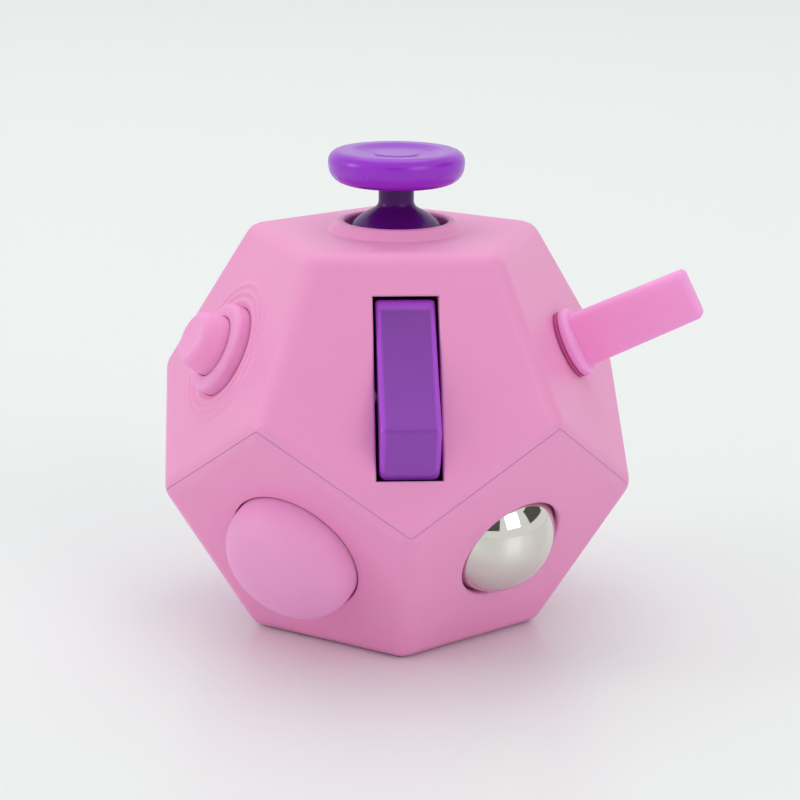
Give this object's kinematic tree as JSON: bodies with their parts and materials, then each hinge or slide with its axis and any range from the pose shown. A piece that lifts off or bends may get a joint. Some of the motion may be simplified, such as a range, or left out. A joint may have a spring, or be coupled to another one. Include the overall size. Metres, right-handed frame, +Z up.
{
  "type": "twelve-sided fidget toy",
  "caption": "Palm-sized twelve-sided fidget toy with a joystick, rocker, stepped button, lever, squeeze dome, rolling ball, dial, click buttons, toothed wheels, slider and roller on its faces.",
  "frame": {"origin": "middle of the bottom face, the face the toy stands on", "axes": "+Z up through the joystick face, -Y out over the rocker face, +X to the lever's side"},
  "size_m": [0.0539, 0.0496, 0.0491],
  "materials": {
    "shell_plastic": "satin injection-moulded pink ABS with softly rounded edges",
    "violet_plastic": "smooth glossy violet ABS",
    "plum_plastic": "dark plum glossy ABS",
    "carrier_plastic": "plain dark moulded carrier, ejector-pin marks",
    "bearing_plastic": "slippery natural acetal",
    "soft_rubber": "matt pink silicone, faint fine texture",
    "lever_rubber": "smooth hot-pink silicone",
    "washer_rubber": "dark soft washer",
    "spring_steel": "drawn spring wire and strip",
    "pin_steel": "zinc-plated pins, axles and small screws",
    "ball_steel": "mirror-polished bearing ball"
  },
  "bodies": {
    "housing": {"upper_shell": "shell_plastic", "lower_shell": "shell_plastic", "upper_screws": "pin_steel", "lower_screws": "pin_steel", "joystick_base": "carrier_plastic", "joystick_spring": "spring_steel", "rocker_pin": "pin_steel", "rocker_bracket": "carrier_plastic", "rocker_spring": "spring_steel", "step_button_base": "carrier_plastic", "step_button_outer_spring": "spring_steel", "step_button_inner_spring": "spring_steel", "lever_washer": "washer_rubber", "dome_seat": "carrier_plastic", "ball_spring": "spring_steel", "ball_cage": "carrier_plastic", "dial_washer": "washer_rubber", "click_pad": "soft_rubber", "click_plate": "carrier_plastic", "gear_axle": "pin_steel", "gear_frame": "carrier_plastic", "slider_spring": "spring_steel", "slider_plate": "carrier_plastic", "roller_axle": "pin_steel", "roller_frame": "carrier_plastic"},
    "joystick_gimbal": {"joystick_cross": "pin_steel"},
    "joystick": {"joystick_stick": "plum_plastic", "joystick_cap": "violet_plastic"},
    "rocker": {"rocker": "violet_plastic"},
    "step_outer": {"step_button_outer": "soft_rubber"},
    "step_inner": {"step_button_inner": "soft_rubber"},
    "lever": {"lever": "lever_rubber", "lever_clip": "spring_steel"},
    "dial": {"dial": "violet_plastic", "dial_clip": "spring_steel"},
    "soft_dome": {"soft_dome": "soft_rubber"},
    "ball_carrier": {"ball_cup": "bearing_plastic"},
    "ball": {"steel_ball": "ball_steel"},
    "click_1": {"click_button_1": "violet_plastic"},
    "click_2": {"click_button_2": "violet_plastic"},
    "click_3": {"click_button_3": "violet_plastic"},
    "click_4": {"click_button_4": "violet_plastic"},
    "click_5": {"click_button_5": "violet_plastic"},
    "gear_1": {"gear_wheel_1": "violet_plastic"},
    "gear_2": {"gear_wheel_2": "violet_plastic"},
    "gear_3": {"gear_wheel_3": "violet_plastic"},
    "slider": {"slider": "violet_plastic"},
    "roller": {"roller": "violet_plastic"}
  },
  "joints": [
    {"name": "joystick_tilt_x", "type": "hinge", "parent": "housing", "child": "joystick_gimbal", "pos_m": [0, 0, 0.0374], "axis": [1, 0, 0], "range_deg": [-15, 15], "stiffness_Nm_per_rad": 0.03},
    {"name": "joystick_tilt_y", "type": "hinge", "parent": "joystick_gimbal", "child": "joystick", "pos_m": [0, 0, 0.0374], "axis": [0, 1, 0], "range_deg": [-15, 15], "stiffness_Nm_per_rad": 0.03},
    {"name": "rocker_tilt", "type": "hinge", "parent": "housing", "child": "rocker", "pos_m": [0, -0.01447, 0.02691], "axis": [1, 0, 0], "range_deg": [0, 34]},
    {"name": "step_outer_press", "type": "slide", "parent": "housing", "child": "step_outer", "axis": [0.8507, 0.2764, -0.4472], "range_m": [0, 0.0012], "stiffness_N_per_m": 1200, "springref_m": -0.0008, "deforming": ["step_button_outer_spring", "step_button_inner_spring"]},
    {"name": "step_inner_press", "type": "slide", "parent": "step_outer", "child": "step_inner", "axis": [0.8507, 0.2764, -0.4472], "range_m": [0, 0.0015], "stiffness_N_per_m": 800, "springref_m": -0.0006, "deforming": ["step_button_inner_spring"]},
    {"name": "lever_turn", "type": "hinge", "parent": "housing", "child": "lever", "pos_m": [0.01718, -0.00558, 0.02988], "axis": [0.8507, -0.2764, 0.4472], "continuous": true},
    {"name": "dial_turn", "type": "hinge", "parent": "housing", "child": "dial", "pos_m": [-0.01072, 0.01476, 0.02952], "axis": [-0.5257, 0.7236, 0.4472], "continuous": true},
    {"name": "dome_press", "type": "slide", "parent": "housing", "child": "soft_dome", "axis": [0.5257, 0.7236, 0.4472], "range_m": [0, 0.0018], "stiffness_N_per_m": 900, "springref_m": -0.0003},
    {"name": "ball_click", "type": "slide", "parent": "housing", "child": "ball_carrier", "axis": [-0.5257, 0.7236, 0.4472], "range_m": [0, 0.0005], "stiffness_N_per_m": 2500, "springref_m": -0.0005, "deforming": ["ball_spring"]},
    {"name": "ball_roll", "type": "hinge", "parent": "ball_carrier", "child": "ball", "pos_m": [0.00896, -0.01234, 0.01277], "axis": [0.809, 0.5878, 0], "continuous": true},
    {"name": "click_press_1", "type": "slide", "parent": "housing", "child": "click_1", "axis": [-0.5257, -0.7236, -0.4472], "range_m": [0, 0.0009], "stiffness_N_per_m": 900, "springref_m": -0.0004, "deforming": ["click_pad"]},
    {"name": "click_press_2", "type": "slide", "parent": "housing", "child": "click_2", "axis": [-0.5257, -0.7236, -0.4472], "range_m": [0, 0.0009], "stiffness_N_per_m": 900, "springref_m": -0.0004, "deforming": ["click_pad"]},
    {"name": "click_press_3", "type": "slide", "parent": "housing", "child": "click_3", "axis": [-0.5257, -0.7236, -0.4472], "range_m": [0, 0.0009], "stiffness_N_per_m": 900, "springref_m": -0.0004, "deforming": ["click_pad"]},
    {"name": "click_press_4", "type": "slide", "parent": "housing", "child": "click_4", "axis": [-0.5257, -0.7236, -0.4472], "range_m": [0, 0.0009], "stiffness_N_per_m": 900, "springref_m": -0.0004, "deforming": ["click_pad"]},
    {"name": "click_press_5", "type": "slide", "parent": "housing", "child": "click_5", "axis": [-0.5257, -0.7236, -0.4472], "range_m": [0, 0.0009], "stiffness_N_per_m": 900, "springref_m": -0.0004, "deforming": ["click_pad"]},
    {"name": "gear_spin_1", "type": "hinge", "parent": "housing", "child": "gear_1", "pos_m": [-0.0135, 0.00765, 0.0128], "axis": [-0.309, -0.9511, 0], "continuous": true},
    {"name": "gear_spin_2", "type": "hinge", "parent": "housing", "child": "gear_2", "pos_m": [-0.01446, 0.0047, 0.0128], "axis": [-0.309, -0.9511, 0], "continuous": true},
    {"name": "gear_spin_3", "type": "hinge", "parent": "housing", "child": "gear_3", "pos_m": [-0.01542, 0.00175, 0.0128], "axis": [-0.309, -0.9511, 0], "continuous": true},
    {"name": "slider_travel", "type": "slide", "parent": "housing", "child": "slider", "axis": [-0.309, 0.9511, 0], "range_m": [-0.003, 0.003]},
    {"name": "roller_spin", "type": "hinge", "parent": "housing", "child": "roller", "pos_m": [0, 0.01547, 0.01266], "axis": [-1, 0, 0], "continuous": true}
  ]
}
